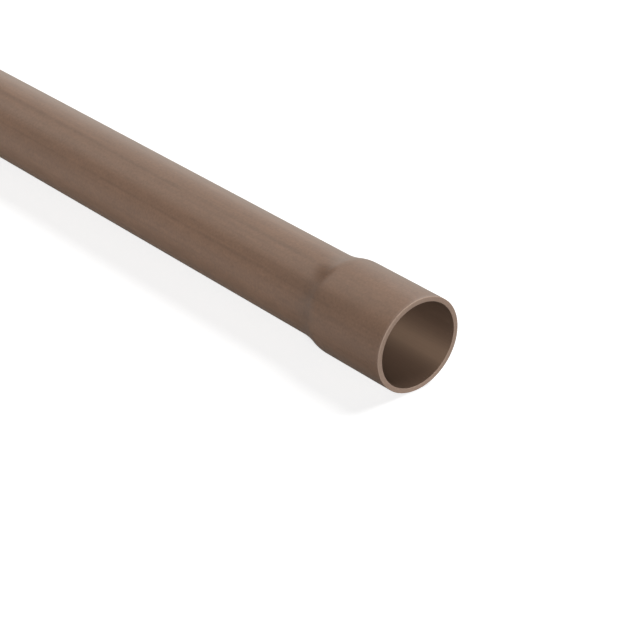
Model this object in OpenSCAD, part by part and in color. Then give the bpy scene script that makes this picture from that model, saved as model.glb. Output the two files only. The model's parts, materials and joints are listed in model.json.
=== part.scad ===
// Solvent-weld PVC-U cold-water pipe, one extruded bar with a belled socket on one end.
//
// Frame: the pipe lies along X on the floor plane z = 0, with its socket mouth facing +X.
// The origin is on the floor, under the middle of the bar. Sizes are in millimetres.

/* [Barrel] */
// Overall length, from the spigot end to the socket mouth
total_length = 3000; // [1000:500:6000]
// Outside diameter of the barrel, which is also the spigot
barrel_od = 32; // [20:1:60]
// Wall thickness of the barrel
barrel_wall = 2.1; // [1.5:0.1:3.5]

/* [Socket] */
// Depth of the straight socket, from its mouth to the shoulder
socket_depth = 33.5; // [25:0.5:70]
// Wall thickness of the socket, thinner than the barrel because it was stretched
socket_wall = 1.85; // [1.3:0.05:3.2]
// Gap all round between the socket and the spigot that is pushed into it
socket_clearance = 0.15; // [0.05:0.05:0.3]
// Radius of the eased outer edge of the mouth
mouth_edge_radius = 0.5; // [0.2:0.1:0.8]

/* [Shoulder] */
// Length along the pipe of the convex bend beside the socket
crown_length = 4.2; // [3:0.2:8]
// Length along the pipe of the concave bend beside the barrel
flare_length = 9.8; // [7:0.2:20]

/* [Hidden] */

pipe_brown = "#7A6457";

barrel_radius = barrel_od / 2;
waterway_radius = barrel_radius - barrel_wall;
socket_bore_radius = barrel_radius + socket_clearance;
socket_radius = socket_bore_radius + socket_wall;

// Stations along the pipe, measured from the spigot end
spigot_at = 0;
mouth_at = total_length;
socket_at = mouth_at - socket_depth;
crown_at = socket_at - crown_length;
flare_at = crown_at - flare_length;

// Chords that stand for each bend's arc
bend_steps = 12;

$fn = 96;

// Every outline point below is [radius, station].

// Radius of the arc that leaves a line at a tangent and is rise away from it after run
function arc_radius(run, rise) = (run * run + rise * rise) / (2 * rise);

// The concave arc that lifts off a straight wall of radius r at flare_at
function flare_arc(r, rise) =
    let (bend = arc_radius(flare_length, rise), turn = asin(flare_length / bend))
    [for (i = [0 : bend_steps])
        let (t = turn * i / bend_steps)
        [r + bend * (1 - cos(t)), flare_at + bend * sin(t)]];

// The convex arc that settles on a straight wall of radius r at socket_at
function crown_arc(r, rise) =
    let (bend = arc_radius(crown_length, rise), turn = asin(crown_length / bend))
    [for (i = [1 : bend_steps])
        let (t = turn * (1 - i / bend_steps))
        [r - bend * (1 - cos(t)), socket_at - bend * sin(t)]];

// The swell from one radius to a larger one. Both arcs take the same share of the rise as
// of the length, so they meet at one slope.
function shoulder(from_radius, to_radius) =
    let (
        rise = to_radius - from_radius,
        flare_rise = rise * flare_length / (flare_length + crown_length)
    )
    concat(flare_arc(from_radius, flare_rise), crown_arc(to_radius, rise - flare_rise));

// The quarter round on the outer edge of the mouth
function mouth_edge() =
    [for (i = [0 : bend_steps])
        let (t = 90 * i / bend_steps)
        [socket_radius - mouth_edge_radius * (1 - cos(t)),
         mouth_at - mouth_edge_radius * (1 - sin(t))]];

function reversed(points) = [for (i = [len(points) - 1 : -1 : 0]) points[i]];

// Half section of the wall: out along the outside, then back along the bore
function wall_outline() = concat(
    [[barrel_radius, spigot_at]],
    shoulder(barrel_radius, socket_radius),
    mouth_edge(),
    [[socket_bore_radius, mouth_at]],
    reversed(shoulder(waterway_radius, socket_bore_radius)),
    [[waterway_radius, spigot_at]]
);

module pipe() {
    color(pipe_brown)
        translate([-total_length / 2, 0, socket_radius])
            rotate([0, 90, 0])
                rotate_extrude()
                    polygon(wall_outline());
}

pipe();
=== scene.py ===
# %% [markdown]
# # A belled PVC water pipe
#
# The object is one bar of brown PVC-U cold-water pipe, three metres long. A factory squeezes it
# hot through a ring-shaped die, saws it off, softens one end again and pushes that end over a
# mandrel, which leaves the wide socket. The lesson follows the same order: draw the wall's half
# section, spin it about the axis with the small marks that each tool leaves, and then give the
# skin, the bore and the sawn ends a finish each.
#
# The first cell loads the measured model. Everything below takes its sizes from it.

# %% Load the measured frame
import json
import math

import bmesh
import bpy
from mathutils import Euler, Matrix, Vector


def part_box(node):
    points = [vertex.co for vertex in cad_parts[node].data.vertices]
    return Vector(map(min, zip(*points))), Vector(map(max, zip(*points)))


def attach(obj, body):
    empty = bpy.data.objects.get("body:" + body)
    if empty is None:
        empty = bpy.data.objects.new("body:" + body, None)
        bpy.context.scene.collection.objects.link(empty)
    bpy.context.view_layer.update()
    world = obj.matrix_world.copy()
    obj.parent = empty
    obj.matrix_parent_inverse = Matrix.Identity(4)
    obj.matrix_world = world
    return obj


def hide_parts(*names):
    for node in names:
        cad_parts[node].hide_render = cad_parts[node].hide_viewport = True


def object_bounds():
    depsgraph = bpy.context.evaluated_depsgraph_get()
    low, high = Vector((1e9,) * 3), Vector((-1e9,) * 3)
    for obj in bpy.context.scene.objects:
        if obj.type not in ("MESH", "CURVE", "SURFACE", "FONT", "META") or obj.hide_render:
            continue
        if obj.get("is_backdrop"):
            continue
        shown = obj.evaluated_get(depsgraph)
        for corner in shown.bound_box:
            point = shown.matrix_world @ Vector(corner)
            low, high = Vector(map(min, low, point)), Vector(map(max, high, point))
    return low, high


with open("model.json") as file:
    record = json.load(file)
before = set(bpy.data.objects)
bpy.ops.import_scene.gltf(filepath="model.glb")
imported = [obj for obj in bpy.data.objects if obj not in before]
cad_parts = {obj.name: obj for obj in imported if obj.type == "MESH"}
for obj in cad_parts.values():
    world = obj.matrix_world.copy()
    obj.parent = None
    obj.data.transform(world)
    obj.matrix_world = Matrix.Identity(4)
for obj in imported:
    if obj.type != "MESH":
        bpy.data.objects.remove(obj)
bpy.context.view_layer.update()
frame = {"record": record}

MM = 0.001
mounts = {mount["name"]: mount for mount in frame["record"]["mounts"]}
low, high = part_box("pipe")
axis_height = (low.z + high.z) / 2
spigot_x = low.x
mouth_x = high.x
print(f"The bar runs from x = {spigot_x:.3f} m to {mouth_x:.3f} m, its axis {axis_height:.3f} m up")

# %% [markdown]
# ## The camera
#
# A long lens from under a metre away shows the socket end large and lets the rest of the bar run
# out of the frame. The camera is set by the direction it looks in and by where the centre of the
# mouth lies in front of it, so it follows the bar if the bar's length changes.

# %% Camera
LENS_MM = 120.6
SENSOR_MM = 36
NEAREST_SEEN = 0.01
LOOK_AZIMUTH = math.radians(49.49)
LOOK_DOWN = math.radians(29.12)
MOUTH_AHEAD = 0.7226
MOUTH_TO_THE_RIGHT = 0.0332
MOUTH_BELOW = 0.0085

mouth_centre = Vector((mouth_x, 0, axis_height))
lens = bpy.data.cameras.new("camera")
lens.lens = LENS_MM
lens.sensor_width = SENSOR_MM
lens.clip_start = NEAREST_SEEN
camera = bpy.data.objects.new("camera", lens)
camera.rotation_euler = Euler((math.pi / 2 - LOOK_DOWN, 0, LOOK_AZIMUTH))
mouth_seen_at = Vector((MOUTH_TO_THE_RIGHT, -MOUTH_BELOW, -MOUTH_AHEAD))
camera.location = mouth_centre - camera.rotation_euler.to_matrix() @ mouth_seen_at
bpy.context.collection.objects.link(camera)
bpy.context.scene.camera = camera
bpy.context.scene.view_settings.view_transform = "Standard"
print("Camera at", [round(c, 3) for c in camera.location])

# %% [markdown]
# ## Writing a material as a sum
#
# A material in Blender is a graph of nodes, and a long graph is hard to read as code. It could be
# clicked together by hand, or built node by node and link by link. Two small classes make it read
# like school algebra instead. The first is a Wire, the output of a node. Adding or multiplying two
# wires adds the Math node that does it.

# %% Wires
class Wire:
    """A value that a node gives out. Arithmetic on it adds Math nodes."""

    def __init__(self, graph, socket):
        self.graph = graph
        self.socket = socket

    def __add__(self, other):
        return self.graph.math("ADD", self, other)

    def __sub__(self, other):
        return self.graph.math("SUBTRACT", self, other)

    def __rsub__(self, other):
        return self.graph.math("SUBTRACT", other, self)

    def __mul__(self, other):
        return self.graph.math("MULTIPLY", self, other)

    def __abs__(self):
        return self.graph.math("ABSOLUTE", self)

    __radd__ = __add__
    __rmul__ = __mul__


print("A Wire can be added, subtracted and multiplied")

# %% [markdown]
# The second class is a Graph, the node tree that the wires run through. Its node method makes any
# kind of node, with its settings first and the values or wires of its sockets after them. The
# other methods are short names for the few nodes that every finish below needs.

# %% Graphs
class Graph:
    """The node tree of one material or of the world, emptied so that a cell can fill it."""

    def __init__(self, owner):
        owner.use_nodes = True
        self.tree = owner.node_tree
        self.tree.nodes.clear()

    def node(self, kind, settings=None, inputs=None):
        """Makes a node, sets its settings first and then its inputs, and returns its outputs."""
        made = self.tree.nodes.new(kind)
        for name, value in (settings or {}).items():
            setattr(made, name, value)
        by_id = {socket.identifier: socket for socket in made.inputs}
        for name, value in (inputs or {}).items():
            socket = made.inputs[name] if isinstance(name, int) else by_id[name]
            if isinstance(value, Wire):
                self.tree.links.new(value.socket, socket)
            else:
                socket.default_value = value
        return {socket.identifier: Wire(self, socket) for socket in made.outputs}

    def math(self, operation, *values):
        """A Math node on one or two numbers."""
        return self.node("ShaderNodeMath", {"operation": operation}, dict(enumerate(values)))["Value"]

    def vector(self, operation, *values):
        """A Vector Math node on one or two vectors. LENGTH and DOT_PRODUCT give a number."""
        made = self.node("ShaderNodeVectorMath", {"operation": operation}, dict(enumerate(values)))
        return made["Value" if operation in ("LENGTH", "DOT_PRODUCT") else "Vector"]

    def shade(self, colour, tone):
        """A colour made lighter or darker by a number."""
        inputs = {"Vector": colour, "Scale": tone}
        return self.node("ShaderNodeVectorMath", {"operation": "SCALE"}, inputs)["Vector"]

    def blend(self, mask, first, second):
        """The first colour where mask is 0 and the second where it is 1."""
        inputs = {"Factor_Float": mask, "A_Color": first, "B_Color": second}
        return self.node("ShaderNodeMix", {"data_type": "RGBA"}, inputs)["Result_Color"]

    def between(self, value, start, end):
        """0 where value is under start, 1 where it is over end, and an S-curve from one to the other."""
        settings = {"interpolation_type": "SMOOTHSTEP"}
        inputs = {"Value": value, "From Min": start, "From Max": end}
        return self.node("ShaderNodeMapRange", settings, inputs)["Result"]

    def split(self, vector):
        """The X, Y and Z of a vector, each as a wire."""
        return self.node("ShaderNodeSeparateXYZ", inputs={"Vector": vector})

    def noise(self, place, scale, detail=2.0):
        """Soft random values around 0.5, with about scale blobs to a metre."""
        inputs = {"Vector": place, "Scale": scale, "Detail": detail}
        return self.node("ShaderNodeTexNoise", inputs=inputs)["Fac"]

    def lines(self, value, scale):
        """Random values around 0.5 that change only with value, about scale times to a metre."""
        settings = {"noise_dimensions": "1D"}
        return self.node("ShaderNodeTexNoise", settings, {"W": value, "Scale": scale})["Fac"]


def grey(level):
    """A colour with red, green and blue alike."""
    return (level, level, level, 1)


methods = [name for name in vars(Graph) if not name.startswith("_")]
print("A Graph makes nodes with", ", ".join(methods))

# %% [markdown]
# ## A white studio that stays out of the way
#
# The bar lies on a white floor under a white sky. How white they look and how much light they
# throw are two different things. The Light Path node tells which kind of ray asks: the camera
# and the reflections see white, and the rays that carry soft light from surface to surface get a
# much darker answer. That keeps the background clean without flooding the bar from all sides.
#
# A reflection also needs something to draw with. An even white room would mirror as nothing, so
# in a studio cards are hung round a shiny object, white ones where a sheen should lie and black
# ones where a curve should show. Here the cards are soft round patches of the sky, and only the
# reflections see them. A bright one overhead lays the sheen along the bar. Two dark ones past the
# bar's far end draw the neck of the socket, and a faint one low in front darkens the flank.
#
# The reflections also see a slightly warm white, as bounced studio light is, which keeps the
# sheen of a brown object from turning blue.

# %% Cards in the sky
WARM_WHITE = (1, 0.995, 0.94, 1)
CARDS = {
    "overhead": {"azimuth": 188, "height": 49, "full": 3, "edge": 28, "change": 0.62},
    "far_high": {"azimuth": 175, "height": 25, "full": 8, "edge": 18, "change": -1.0},
    "far_low": {"azimuth": 197, "height": 9, "full": 4, "edge": 18, "change": -0.45},
    "flank": {"azimuth": 225, "height": 13, "full": 4, "edge": 33, "change": -0.4},
}


def way(azimuth, height):
    """A unit vector that points round from +X by azimuth and up by height, both in degrees."""
    round_x, up = math.radians(azimuth), math.radians(height)
    return Vector((math.cos(up) * math.cos(round_x), math.cos(up) * math.sin(round_x), math.sin(up)))


def card_mask(graph, direction, card):
    """1 inside a card's full angle, 0 outside its edge angle, and a soft step between them."""
    nearness = graph.vector("DOT_PRODUCT", direction, way(card["azimuth"], card["height"]))
    edge, full = math.cos(math.radians(card["edge"])), math.cos(math.radians(card["full"]))
    return graph.between(nearness, edge, full)


for name, card in CARDS.items():
    print(f"The {name} card changes the sky's strength by {card['change']:+.2f}")

# %% Sky
SKY_LIGHT = 0.05

world = bpy.data.worlds.new("studio")
bpy.context.scene.world = world
sky = Graph(world)
looking = sky.node("ShaderNodeTexCoord")["Generated"]
ray = sky.node("ShaderNodeLightPath")
seen = sky.between(ray["Is Camera Ray"] + ray["Is Glossy Ray"] + ray["Is Transmission Ray"], 0, 1)
strength = SKY_LIGHT + seen * (1 - SKY_LIGHT)
for card in CARDS.values():
    strength = strength + ray["Is Glossy Ray"] * card["change"] * card_mask(sky, looking, card)
white = sky.blend(ray["Is Glossy Ray"], grey(1), WARM_WHITE)
background = sky.node("ShaderNodeBackground", inputs={"Color": white, "Strength": strength})["Background"]
sky.node("ShaderNodeOutputWorld", inputs={"Surface": background})
print(f"The sky looks white, gives {SKY_LIGHT:.0%} of its light and has {len(CARDS)} cards in it")

# %% [markdown]
# The floor is a matt white disc that reaches the horizon. It is the stage and not part of the
# object, so the frame is told to leave it out of the bar's box.

# %% Floor disc
FLOOR_RADIUS = 60
FLOOR_CORNERS = 64

floor_mesh = bpy.data.meshes.new("floor")
disc = bmesh.new()
bmesh.ops.create_circle(disc, cap_ends=True, segments=FLOOR_CORNERS, radius=FLOOR_RADIUS)
disc.to_mesh(floor_mesh)
disc.free()
floor = bpy.data.objects.new("floor", floor_mesh)
bpy.context.collection.objects.link(floor)
floor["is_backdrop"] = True
print(f"The floor is {2 * FLOOR_RADIUS} m across")

# %% [markdown]
# Near the bar the lamps light the floor, so it shows the bar's shadow. On its own it would come
# out pale grey there. A little glow that only the camera sees lifts it to clean white and keeps
# the shadow soft. A few metres out the floor fades into pure white, and it meets the sky without
# a line.
#
# Close under the bar the floor lies in its shade. The lower edge of the bar mirrors that strip at
# a flat angle, so the reflections see the floor darker there, and the edge stays crisp.
#
# A floor also throws light back up. In front of the mouth that light would fill the bore, which
# should look deep, so the floor gives none there, as if a black cloth lay on it.

# %% Floor paint
FLOOR_SEEN = 0.6
FLOOR_BOUNCE = 0.9
FLOOR_GLOW = 0.65
SHADED_SHARE = 0.3
SHADED_START, SHADED_END = 0.008, 0.025
CLOTH_FADE = 0.03
WHITE_START, WHITE_END = 2.5, 5.0

floor_paint = bpy.data.materials.new("floor_white")
paint = Graph(floor_paint)
ray = paint.node("ShaderNodeLightPath")
pictured = ray["Is Camera Ray"] + ray["Is Transmission Ray"]
seen = pictured + ray["Is Glossy Ray"]
place = paint.node("ShaderNodeTexCoord")["Object"]
spot = paint.split(place)

cloth = paint.between(spot["X"], mouth_x - CLOTH_FADE, mouth_x + CLOTH_FADE)
bounce = paint.blend(cloth, grey(FLOOR_BOUNCE), grey(0))
shaded = 1 - paint.between(abs(spot["Y"]), SHADED_START, SHADED_END)
mirrored = paint.shade(WARM_WHITE[:3], FLOOR_SEEN * (1 - SHADED_SHARE * shaded))
shown = paint.blend(ray["Is Glossy Ray"], grey(FLOOR_SEEN), mirrored)
matt = paint.node("ShaderNodeBsdfDiffuse", inputs={"Color": paint.blend(seen, bounce, shown)})["BSDF"]
glow = paint.node("ShaderNodeEmission", inputs={"Strength": pictured * FLOOR_GLOW})["Emission"]
near = paint.node("ShaderNodeAddShader", inputs={0: matt, 1: glow})["Shader"]

pure = paint.blend(ray["Is Glossy Ray"], grey(1), WARM_WHITE)
white = paint.node("ShaderNodeEmission", inputs={"Color": pure})["Emission"]
far = seen * paint.between(paint.vector("LENGTH", place), WHITE_START, WHITE_END)
surface = paint.node("ShaderNodeMixShader", inputs={0: far, 1: near, 2: white})["Shader"]
paint.node("ShaderNodeOutputMaterial", inputs={"Surface": surface})
floor_mesh.materials.append(floor_paint)
print(f"The floor keeps the shadow near the bar and is pure white from {WHITE_END} m out")

# %% [markdown]
# ## Two lights
#
# A round bar is hard to light, because it shows every lamp as a stripe. Two broad lights are
# enough. One stands low in front, close to the camera's side, and reaches into the bore. The
# other stands behind the bar and lights the top of it, and it is so wide that its shadow melts
# into the floor. Both are Sun lamps, which come from one direction everywhere, so all three
# metres of the bar are lit alike.

# %% Lamps
LAMPS = {
    "front_lamp": {"azimuth": -36, "height": 23, "light": 0.84, "spread": 12},
    "back_lamp": {"azimuth": 97, "height": 50, "light": 0.87, "spread": 45},
}

for name, lamp in LAMPS.items():
    sun = bpy.data.lights.new(name, "SUN")
    sun.energy = math.pi * lamp["light"]
    sun.angle = math.radians(lamp["spread"])
    stand = bpy.data.objects.new(name, sun)
    shines_from = way(lamp["azimuth"], lamp["height"])
    stand.rotation_euler = shines_from.to_track_quat("Z", "Y").to_euler()
    bpy.context.collection.objects.link(stand)
    print(f"{name} shows a colour that faces it {lamp['light']:.0%} as bright as it is written")

# %% [markdown]
# ## The wall's half section
#
# A pipe is a closed outline turned about a line. The outline has few sizes, and the measured
# model already holds them: the mounts give both bores and the barrel, and the bar's box gives
# the socket's outside. Between barrel and socket the wall climbs in two arcs, a long one that
# leaves the barrel and a short one that meets the socket, as the mandrel's shoulder shapes it.
# The short one is called the crown here, and it takes the same share of the neck's length as of
# its climb, so the two arcs meet at one slope.

# %% Sizes of the section
R_SOCKET = (high.z - low.z) / 2
R_SOCKET_BORE = mounts["socket"]["dims"]["r_mm"] * MM
SOCKET_DEPTH = mounts["socket"]["dims"]["length_mm"] * MM
R_BARREL = mounts["spigot"]["dims"]["r_mm"] * MM
BARREL_LENGTH = mounts["spigot"]["dims"]["length_mm"] * MM
R_WATERWAY = mounts["waterway"]["dims"]["r_mm"] * MM
CROWN_SHARE = 0.3

socket_x = mouth_x - SOCKET_DEPTH
flare_x = spigot_x + BARREL_LENGTH
crown_x = socket_x - CROWN_SHARE * (socket_x - flare_x)
print(f"Barrel {2 * R_BARREL / MM:.1f} mm and socket {2 * R_SOCKET / MM:.1f} mm across,")
print(f"the socket {SOCKET_DEPTH / MM:.1f} mm deep behind a neck of {(socket_x - flare_x) / MM:.1f} mm")

# %% [markdown]
# The section's curves could be drawn by hand as a curve object. Two short functions are exact and
# follow the sizes: one gives the points of the neck, and one gives the points of a rounded edge.
# The neck is used twice, once for the outside and once for the bore.

# %% Curves of the section
ARC_STEPS = 12
EDGE_STEPS = 5


def arc(run, rise, steps=ARC_STEPS):
    """Points (along, up) of an arc that leaves a line at a tangent and climbs rise over run."""
    bend = (run * run + rise * rise) / (2 * rise)
    turn = math.asin(run / bend)
    shares = [turn * i / steps for i in range(steps + 1)]
    return [(bend * math.sin(t), bend * (1 - math.cos(t))) for t in shares]


def neck(r_from, r_to):
    """The climb from the barrel's radius to the socket's, as (x, r) points."""
    crown_rise = (r_to - r_from) * CROWN_SHARE
    flare_rise = r_to - r_from - crown_rise
    flare = [(flare_x + x, r_from + y) for x, y in arc(crown_x - flare_x, flare_rise)]
    crown = [(socket_x - x, r_to - y) for x, y in arc(socket_x - crown_x, crown_rise)]
    return flare + crown[-2::-1]


def eased(x, r, back, down, steps=EDGE_STEPS):
    """A rounded edge that starts at (x + back, r), along the bar, and ends across it at (x, r + down)."""
    turns = [math.pi / 2 * i / steps for i in range(steps + 1)]
    return [(x + back * (1 - math.sin(t)), r + down * (1 - math.cos(t))) for t in turns]


print(f"The outside of the neck has {len(neck(R_BARREL, R_SOCKET))} points")

# %% [markdown]
# ## What the tools leave behind
#
# A perfect cylinder looks like a drawing. A real bar carries traces of how it was made, and most
# of them are far below a tenth of a millimetre, which is still enough to bend a reflection. The
# die is never quite even all the way round, so the skin has very shallow flats that run the whole
# length. The machine that pulls the bar breathes a little, so the skin swells and shrinks slowly
# along it. The bar has lain on its side in a stack, so it is slightly wider than it is tall. The
# mandrel goes in a little askew, so the socket is a trifle longer on one side, and the tool that
# rounds the mouth's edge bites unevenly.
#
# All of it could be bump in the material. Here it is real shape, made of a few waves, so that it
# is in the mesh too. Each of the die's waves has a count round the bar, a depth in millimetres
# and a start in radians. Each wave of the skin's breath has a length in metres, a depth in
# millimetres and a start.

# %% Marks of the tools
DIE_FLATS = ((3, 0.012, 0.3), (5, 0.010, 2.0), (9, 0.007, 4.1), (14, 0.004, 1.2))
BREATH = ((0.31, 0.018, 0.0), (0.117, 0.009, 1.7))
LAIN_OVAL = 0.01
ASKEW = 0.4 * MM
LONG_SIDE = math.radians(153)
CORE_SHARE = 0.5
CORE_TURN = 2
FINE_EASING = 0.12 * MM
MOUTH_EASING = 0.25 * MM
BITES, BITE_SHARE, FIRST_BITE = 3, 0.15, 1


def die_flats(turn):
    """How far the die's unevenness lifts the wall at a turn about the axis, in metres."""
    return MM * sum(depth * math.cos(count * turn + start) for count, depth, start in DIE_FLATS)


def core_flats(turn):
    """How far the unevenness of the die's core lifts the bore at a turn about the axis, in metres."""
    return CORE_SHARE * die_flats(turn + CORE_TURN)


def breath(x):
    """How far the skin swells at a place along the bar, in metres."""
    return MM * sum(depth * math.sin(math.tau * x / length + start) for length, depth, start in BREATH)


def askew(turn):
    """How far the mouth stands out, and the neck stands back, at a turn about the axis."""
    return ASKEW * math.cos(turn - LONG_SIDE)


def mouth_easing(turn):
    """The size of the rounded outer edge of the mouth at a turn about the axis."""
    return MOUTH_EASING * (1 + BITE_SHARE * math.cos(BITES * turn + FIRST_BITE))


deepest = max(abs(die_flats(math.radians(angle))) for angle in range(360))
print(f"The die's flats move the skin by up to {deepest / MM:.3f} mm")

# %% [markdown]
# ## Spinning the bar
#
# Blender's Screw modifier spins a profile, but then every spoke is the same. Here a function
# draws the half section at each turn, and faces join each spoke to the next. The section runs
# along the skin from the spigot's edge to the mouth, across the sawn face, and back through the
# bore. Each point also names the finish of the strip that starts there: skin, sawn face or bore.

# %% Section at a turn
SKIN, CUT, BORE = 0, 1, 2
SKIN_ROWS = 100
BORE_ROWS = 60


def finished(points, finish):
    """The points with the finish of the strips that start at them."""
    return [(x, r, finish) for x, r in points]


def section(turn):
    """The closed half section at a turn, as (x, r, finish) points in order round the wall."""
    out, inside = die_flats(turn), core_flats(turn)
    mouth, easing = mouth_x + askew(turn), mouth_easing(turn)
    run = flare_x - spigot_x - FINE_EASING
    skin_xs = [flare_x - run * i / SKIN_ROWS for i in range(SKIN_ROWS - 1, 0, -1)]
    bore_xs = [flare_x - run * i / BORE_ROWS for i in range(1, BORE_ROWS)]
    r_skin, r_bore = R_BARREL + out, R_WATERWAY + inside
    spigot_outside = eased(spigot_x, r_skin, FINE_EASING, -FINE_EASING)[::-1]
    spigot_inside = eased(spigot_x, r_bore, FINE_EASING, FINE_EASING)
    points = finished(spigot_outside[:-1], CUT) + finished(spigot_outside[-1:], SKIN)
    points += finished([(x, r_skin + breath(x)) for x in skin_xs], SKIN)
    points += finished([(x - askew(turn), r + out) for x, r in neck(R_BARREL, R_SOCKET)], SKIN)
    points += finished(eased(mouth, R_SOCKET + out, -easing, -easing), CUT)
    points += finished(eased(mouth, R_SOCKET_BORE + inside, -FINE_EASING, FINE_EASING)[:0:-1], CUT)
    points += finished([(mouth - FINE_EASING, R_SOCKET_BORE + inside)], BORE)
    bore_neck = neck(R_WATERWAY, R_SOCKET_BORE)[::-1]
    points += finished([(x - askew(turn), r + inside) for x, r in bore_neck], BORE)
    points += finished([(x, r_bore) for x in bore_xs], BORE)
    return points + finished(spigot_inside, CUT)


print(f"A section has {len(section(0))} points")

# %% [markdown]
# The wall is unwrapped as it is made. The turn is one axis of the map and the way round the
# section is the other, so nothing overlaps. The barrel is three metres of the same thing, and the
# socket and the sawn ends are where the detail is, so each kind of strip gets its own share of
# the map instead of its true length.

# %% Shares of the map
BARREL_MAP = 0.02
SOCKET_MAP = 1.0
CUT_MAP = 8.0


def map_heights(points):
    """How far up the map each strip of the section starts, from 0 to 1, with the end of the last."""
    heights = [0]
    for here, following in zip(points, points[1:] + points[:1]):
        length = math.dist(here[:2], following[:2])
        on_barrel = (here[0] + following[0]) / 2 < flare_x
        share = CUT_MAP if here[2] == CUT else BARREL_MAP if on_barrel else SOCKET_MAP
        heights.append(heights[-1] + length * share)
    return [height / heights[-1] for height in heights]


heights = map_heights(section(0))
barrel_share = heights[EDGE_STEPS + SKIN_ROWS] - heights[EDGE_STEPS]
print(f"The barrel's skin takes {barrel_share:.0%} of the map")

# %% Spokes of the wall
SPOKES = 192

wall = bmesh.new()
spokes = []
for i in range(SPOKES):
    turn = math.tau * i / SPOKES
    across, down = (1 + LAIN_OVAL) * math.sin(turn), (1 - LAIN_OVAL) * math.cos(turn)
    spoke = [wall.verts.new((x, r * across, axis_height - r * down)) for x, r, _ in section(turn)]
    spokes.append(spoke)
print(f"{SPOKES} spokes have {len(wall.verts)} points")

# %% [markdown]
# Four neighbouring points make a face. A face is shaded smooth, and then the edges where the wall
# turns a real corner are marked sharp again.

# %% Faces of the wall
SHARP = math.radians(35)

finishes = [finish for _, _, finish in section(0)]
bake_map = wall.loops.layers.uv.new("OFBake")
for i, spoke in enumerate(spokes):
    next_spoke = spokes[(i + 1) % SPOKES]
    for j, finish in enumerate(finishes):
        k = (j + 1) % len(finishes)
        face = wall.faces.new((spoke[j], next_spoke[j], next_spoke[k], spoke[k]))
        face.material_index = finish
        face.smooth = True
        corners = ((i, j), (i + 1, j), (i + 1, j + 1), (i, j + 1))
        for loop, (column, row) in zip(face.loops, corners):
            loop[bake_map].uv = (column / SPOKES, heights[row])
wall.normal_update()
for edge in wall.edges:
    edge.smooth = edge.calc_face_angle(0) < SHARP
print(f"{sum(not edge.smooth for edge in wall.edges)} edges of {len(wall.edges)} are sharp")

# %% [markdown]
# The mesh becomes an object, and the frame is told two things about it: that it belongs to the
# one body, and which plain piece it takes the place of.

# %% Hand the bar over
CUBIC_CM = 1e-6

pipe_mesh = bpy.data.meshes.new("belled_bar")
wall.to_mesh(pipe_mesh)
volume = wall.calc_volume(signed=True)
wall.free()
belled_bar = bpy.data.objects.new("belled_bar", pipe_mesh)
bpy.context.collection.objects.link(belled_bar)
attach(belled_bar, "root")
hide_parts("pipe")
print(f"The bar has {len(pipe_mesh.polygons)} faces and {volume / CUBIC_CM:.0f} cm3 of plastic")

# %% [markdown]
# ## Where a mark lies on the bar
#
# Nearly every mark on this object runs along it, because the plastic moved along the die. A noise
# texture draws round blobs, and when the place it reads is squeezed along the bar the blobs draw
# out into streaks. The place is also pushed out to one and the same radius all along the bar, so
# a streak climbs the neck with the wall instead of sliding sideways there.

# %% Places on the bar
AXIS = Vector((0, 0, axis_height))


def from_axis(paint):
    """Where a point is, counted from the bar's axis."""
    return paint.vector("SUBTRACT", paint.node("ShaderNodeTexCoord")["Object"], AXIS)


def round_bar(paint):
    """Where a point lies round the bar, on one ring of the barrel's radius."""
    around = paint.vector("NORMALIZE", paint.vector("MULTIPLY", from_axis(paint), (0, 1, 1)))
    return paint.vector("MULTIPLY", around, (0, R_BARREL, R_BARREL))


def drawn_out(paint, stretch):
    """A place for noise that comes out as streaks along the bar, stretch times as long as wide."""
    along = paint.vector("MULTIPLY", from_axis(paint), (1 / stretch, 0, 0))
    return paint.vector("ADD", round_bar(paint), along)


print(f"Places are counted from the axis, and streaks lie on a ring of {R_BARREL / MM:.0f} mm")

# %% [markdown]
# ## Layers of noise
#
# Each finish is laid up from a few noises, as a painter lays thin coats. A table holds them, one
# row to a layer: how far it is drawn out along the bar, where 1 leaves the blobs round, how many
# blobs go to a metre, by how much it moves the tone and the roughness, and how many metres it
# stands up. The tones and the roughnesses are multiplied, and the heights are added.

# %% Layers
def unevenness(texture, amount):
    """A tone around 1 that a texture around 0.5 moves up or down by amount at most."""
    return 1 + 2 * amount * (texture - 0.5)


def lay(paint, layers):
    """Lays the layers, and returns the noise of each, and their tone, dullness and height."""
    noises, tone, dullness, height = {}, 1, 1, 0
    for name, layer in layers.items():
        place = drawn_out(paint, layer["stretch"]) if layer["stretch"] > 1 else from_axis(paint)
        noises[name] = paint.noise(place, layer["scale"])
        if "tone" in layer:
            tone = tone * unevenness(noises[name], layer["tone"])
        if "rough" in layer:
            dullness = dullness * unevenness(noises[name], layer["rough"])
        if "height" in layer:
            height = height + layer["height"] * noises[name]
    return noises, tone, dullness, height


print("A layer of 0.1 moves a tone between", unevenness(0, 0.1), "and", unevenness(1, 0.1))

# %% [markdown]
# A finish is a Principled shader with a colour, a roughness and a height. The height goes through
# a Bump node, with its distance at one metre, so every height below is a real one in metres.

# %% Finish of a surface
PVC_IOR = 1.54


def make_finish(paint, material, colour, roughness, height):
    """Joins colour, roughness and height into a plastic surface."""
    bump = {"Strength": 1, "Distance": 1, "Height": height}
    bumped = paint.node("ShaderNodeBump", inputs=bump)["Normal"]
    inputs = {"Base Color": colour, "Roughness": roughness, "Normal": bumped, "IOR": PVC_IOR}
    plastic = paint.node("ShaderNodeBsdfPrincipled", inputs=inputs)["BSDF"]
    paint.node("ShaderNodeOutputMaterial", inputs={"Surface": plastic})
    pipe_mesh.materials.append(material)
    print(f"{material.name} has {len(paint.tree.nodes)} nodes")


mirrored_share = ((PVC_IOR - 1) / (PVC_IOR + 1)) ** 2
print(f"The plastic mirrors {mirrored_share:.1%} of the light that falls straight on it")

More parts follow.
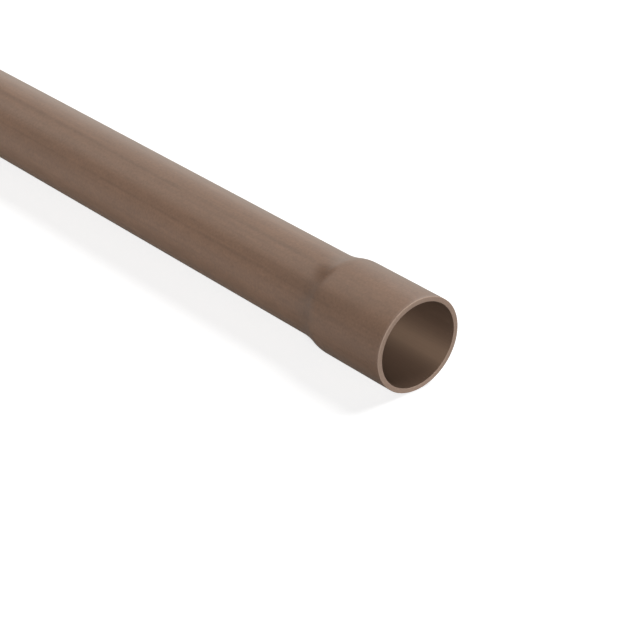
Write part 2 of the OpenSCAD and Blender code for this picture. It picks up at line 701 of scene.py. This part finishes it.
# %% [markdown]
# ## The skin
#
# The outside of the pipe is a dark red-brown with a satin sheen. The pigment is mixed in well but
# not perfectly, which gives faint wide streaks with finer ones inside them. The skin cools against
# a wet sleeve, which leaves a short faint mottle and a very fine peel.

# %% Layers of the skin
SKIN_LAYERS = {
    "streak": {"stretch": 40, "scale": 220, "tone": 0.14, "height": 3e-6},
    "thread": {"stretch": 60, "scale": 560, "tone": 0.10},
    "hairline": {"stretch": 120, "scale": 1400, "tone": 0.10, "rough": 0.10, "height": 4e-6},
    "cloud": {"stretch": 1, "scale": 25, "tone": 0.08, "rough": 0.08},
    "mottle": {"stretch": 3, "scale": 330, "tone": 0.13},
    "peel": {"stretch": 1, "scale": 1100, "tone": 0.25, "height": 9e-6},
}

for name, layer in SKIN_LAYERS.items():
    print(f"The blobs of the {name} are about {1 / layer['scale'] / MM:.1f} mm wide")

# %% [markdown]
# Two soft dark lines are laid along the front of this bar, and the wider of them ends where the
# socket was stretched. A dark line is the distance from a straight line along the bar, made soft
# at its edges, and a noise lets it come and go.

# %% Dark lines
WIDE_LINE = {"angle": 69.5, "width": 1.6 * MM, "dark": 0.196}
FINE_LINE = {"angle": 29, "width": 0.8 * MM, "dark": 0.112}
FITFUL_STRETCH, FITFUL_SCALE, FITFUL_SHARE = 6, 30, 0.5


def dark_line(paint, line):
    """How far a line at an angle above the middle of the bar's front darkens the skin at a point."""
    angle = math.radians(line["angle"])
    line_at = Vector((0, -math.cos(angle), math.sin(angle))) * R_BARREL
    aside = paint.vector("LENGTH", paint.vector("SUBTRACT", round_bar(paint), line_at))
    return line["dark"] * (1 - paint.between(aside, 0, line["width"]))


def fitful(paint):
    """A tone around 1 by which a dark line comes and goes along the bar."""
    return unevenness(paint.noise(drawn_out(paint, FITFUL_STRETCH), FITFUL_SCALE), FITFUL_SHARE)


print(f"The die lines darken the skin by {WIDE_LINE['dark']:.0%} and {FINE_LINE['dark']:.0%}")

# %% [markdown]
# Stacking and handling leave a few pale hair scratches that run lengthwise. A scratch is drawn as
# a contour line: where a wandering noise crosses its middle value there is a thin line, and a
# second noise decides where on the bar the lines show at all.

# %% Scratches
SCRATCH_STRETCH, SCRATCH_SCALE = 14, 160
SCRATCH_WIDTH = 0.006
SCRATCH_DEPTH = 4e-6
PATCH_STRETCH, PATCH_SCALE = 9, 70
PATCH_START, PATCH_END = 0.56, 0.68


def scratches(paint):
    """1 on a few thin lines that run mostly along the bar, and 0 beside them."""
    wander = paint.noise(drawn_out(paint, SCRATCH_STRETCH), SCRATCH_SCALE, detail=1)
    line = 1 - paint.between(abs(wander - 0.5), 0, SCRATCH_WIDTH)
    patch = paint.noise(drawn_out(paint, PATCH_STRETCH), PATCH_SCALE, detail=1)
    return line * paint.between(patch, PATCH_START, PATCH_END)


print(f"A scratch is {SCRATCH_DEPTH / MM:.3f} mm deep")

# %% [markdown]
# Over the stretch where the bar was softened again for the socket the skin is made a shade darker
# and duller, and the socket's edge is rubbed paler. With that, the skin is complete.

# %% Skin
SKIN_BROWN = (0.184, 0.102, 0.0625)
RUBBED_BROWN = (0.235, 0.160, 0.120, 1)
RUBBED_WIDTH = 0.9 * MM
RUBBED_WANDER = 1 * MM
RUBBED_PALE = 0.5
SCRATCH_PALE = 0.16
SCRATCH_ROUGH = 0.12
HEATED_FROM, HEATED_TO = flare_x - 20 * MM, flare_x + 12 * MM
HEATED_TONE = 0.91
HEATED_ROUGH = 0.02
SKIN_ROUGHNESS = 0.3


def finish_skin():
    """The outside: brown with streaks, two dark lines, scratches, a heated stretch and a rubbed edge."""
    material = bpy.data.materials.new("pvc_skin")
    paint = Graph(material)
    x = paint.split(from_axis(paint))["X"]
    noises, tone, dullness, height = lay(paint, SKIN_LAYERS)
    heated = paint.between(x, HEATED_FROM, HEATED_TO)
    rubbed_from = mouth_x - RUBBED_WIDTH - RUBBED_WANDER * noises["cloud"]
    rubbed = paint.between(x, rubbed_from, mouth_x)
    scratch = scratches(paint)
    drawn = (1 - heated) * dark_line(paint, WIDE_LINE) + dark_line(paint, FINE_LINE)
    tone = tone * (1 - (1 - HEATED_TONE) * heated) * (1 - drawn * fitful(paint))
    pale = scratch * SCRATCH_PALE + rubbed * RUBBED_PALE
    colour = paint.blend(pale, paint.shade(SKIN_BROWN, tone), RUBBED_BROWN)
    roughness = SKIN_ROUGHNESS * dullness + HEATED_ROUGH * heated + SCRATCH_ROUGH * scratch
    make_finish(paint, material, colour, roughness, height - SCRATCH_DEPTH * scratch)


finish_skin()

# %% [markdown]
# ## The sawn ends
#
# A circular saw crosses the bar at the mouth and at the spigot. It leaves a paler, matt face with
# the arcs of its teeth across it, and flecks of lighter burr. The arcs are all at one distance or
# another from the blade's centre, which lies far outside the bar, so one distance and a noise
# along it draw them all.

# %% Sawn ends
CUT_BROWN = (0.342, 0.238, 0.182)
BURR_BROWN = (0.42, 0.31, 0.25, 1)
BURR_START, BURR_END = 0.55, 0.75
BURR_PALE = 0.3
BLADE_CENTRE = Vector((0, -0.14, 0.07))
TOOTH_LINES = 2600
TOOTH_TONE = 0.10
TOOTH_HEIGHT = 9e-6
CUT_ROUGHNESS = 0.6
CUT_LAYERS = {
    "grain": {"stretch": 1, "scale": 2500, "tone": 0.10, "rough": 0.12, "height": 8e-6},
    "smear": {"stretch": 1, "scale": 400, "tone": 0.06, "rough": 0.06},
}


def finish_cut():
    """The sawn faces: paler and matt, with the blade's arcs and flecks of burr."""
    material = bpy.data.materials.new("pvc_cut")
    paint = Graph(material)
    sideways = paint.vector("MULTIPLY", from_axis(paint), (0, 1, 1))
    from_blade = paint.vector("LENGTH", paint.vector("SUBTRACT", sideways, BLADE_CENTRE))
    tooth = paint.lines(from_blade, TOOTH_LINES)
    noises, tone, dullness, height = lay(paint, CUT_LAYERS)
    burr = BURR_PALE * paint.between(noises["grain"], BURR_START, BURR_END)
    colour = paint.shade(CUT_BROWN, tone * unevenness(tooth, TOOTH_TONE))
    colour = paint.blend(burr, colour, BURR_BROWN)
    make_finish(paint, material, colour, CUT_ROUGHNESS * dullness, height + TOOTH_HEIGHT * tooth)


finish_cut()

# %% [markdown]
# ## The bore
#
# Inside, the plastic ran over the die's core, so the streaks are finer and straighter than on the
# skin. The bore's colour also holds painted light and painted shade. Three pale bands of painted
# light run down the whole bore, 120 degrees apart, and the wall between the bands is painted
# darker as shade.
#
# A cosine of the turn about the axis rises and falls as often as there are bands. Lifted to run
# from 0 to 1 and taken to the fourth power, it has narrow crests and broad hollows, as the bands
# have.

# %% Bands in the bore
# Painted shade for the bore's wall, and painted light for its pale bands.
SHADED_BORE_BROWN = (0.118, 0.0735, 0.0505, 1)
LIT_BAND_BROWN = (0.224, 0.147, 0.101, 1)
LIT_BAND_COUNT = 3
LIT_BAND_AT = math.radians(54)
BAND_POWER = 4


def bore_painted_light_and_shade(paint):
    """The bore's colour: pale bands of painted light, and painted shade on the wall between them."""
    spot = paint.split(from_axis(paint))
    turn = paint.math("ARCTAN2", spot["Y"], -1 * spot["Z"])
    rise = 0.5 + 0.5 * paint.math("COSINE", LIT_BAND_COUNT * (turn - LIT_BAND_AT))
    return paint.blend(paint.math("POWER", rise, BAND_POWER), SHADED_BORE_BROWN, LIT_BAND_BROWN)


print(f"The bore has {LIT_BAND_COUNT} pale bands, {360 // LIT_BAND_COUNT} degrees apart")

# %% [markdown]
# The socket's bore was pressed on the mandrel, which adds very faint rings. A little saw dust
# clings to the wall just inside the mouth.

# %% Bore
DUST_BROWN = (0.26, 0.19, 0.15, 1)
DUST_REACH = 6 * MM
DUST_START, DUST_END = 0.6, 0.75
DUST_PALE = 0.5
DUST_ROUGH = 0.15
DUST_HEIGHT = 5e-6
RING_LINES = 900
RING_HEIGHT = 2e-6
BORE_ROUGHNESS = 0.37
BORE_LAYERS = {
    "streak": {"stretch": 60, "scale": 300, "tone": 0.10},
    "hairline": {"stretch": 150, "scale": 1600, "tone": 0.08, "rough": 0.10, "height": 4e-6},
    "cloud": {"stretch": 1, "scale": 40, "tone": 0.04, "rough": 0.06},
    "speck": {"stretch": 1, "scale": 2200},
}


def finish_bore():
    """The inside: painted light bands and painted shade between, fine streaks, rings and a little dust.
    """
    material = bpy.data.materials.new("pvc_bore")
    paint = Graph(material)
    x = paint.split(from_axis(paint))["X"]
    noises, tone, dullness, height = lay(paint, BORE_LAYERS)
    near_mouth = paint.between(x, mouth_x - DUST_REACH, mouth_x)
    dust = near_mouth * paint.between(noises["speck"], DUST_START, DUST_END)
    # The bore's colour carries the painted light bands and the painted shade between them.
    colour = paint.blend(DUST_PALE * dust, paint.shade(bore_painted_light_and_shade(paint), tone), DUST_BROWN)
    roughness = BORE_ROUGHNESS * dullness + DUST_ROUGH * dust
    height = height + RING_HEIGHT * paint.lines(x, RING_LINES) + DUST_HEIGHT * dust
    make_finish(paint, material, colour, roughness, height)


finish_bore()

# %% [markdown]
# ## The dressed bar's size
#
# The last cell prints the dressed bar's size along each axis.

# %% Print the sizes
visual_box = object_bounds()
for axis, start, end in zip("xyz", *visual_box):
    print(f"The dressed bar measures {(end - start) / MM:.2f} mm along {axis}")
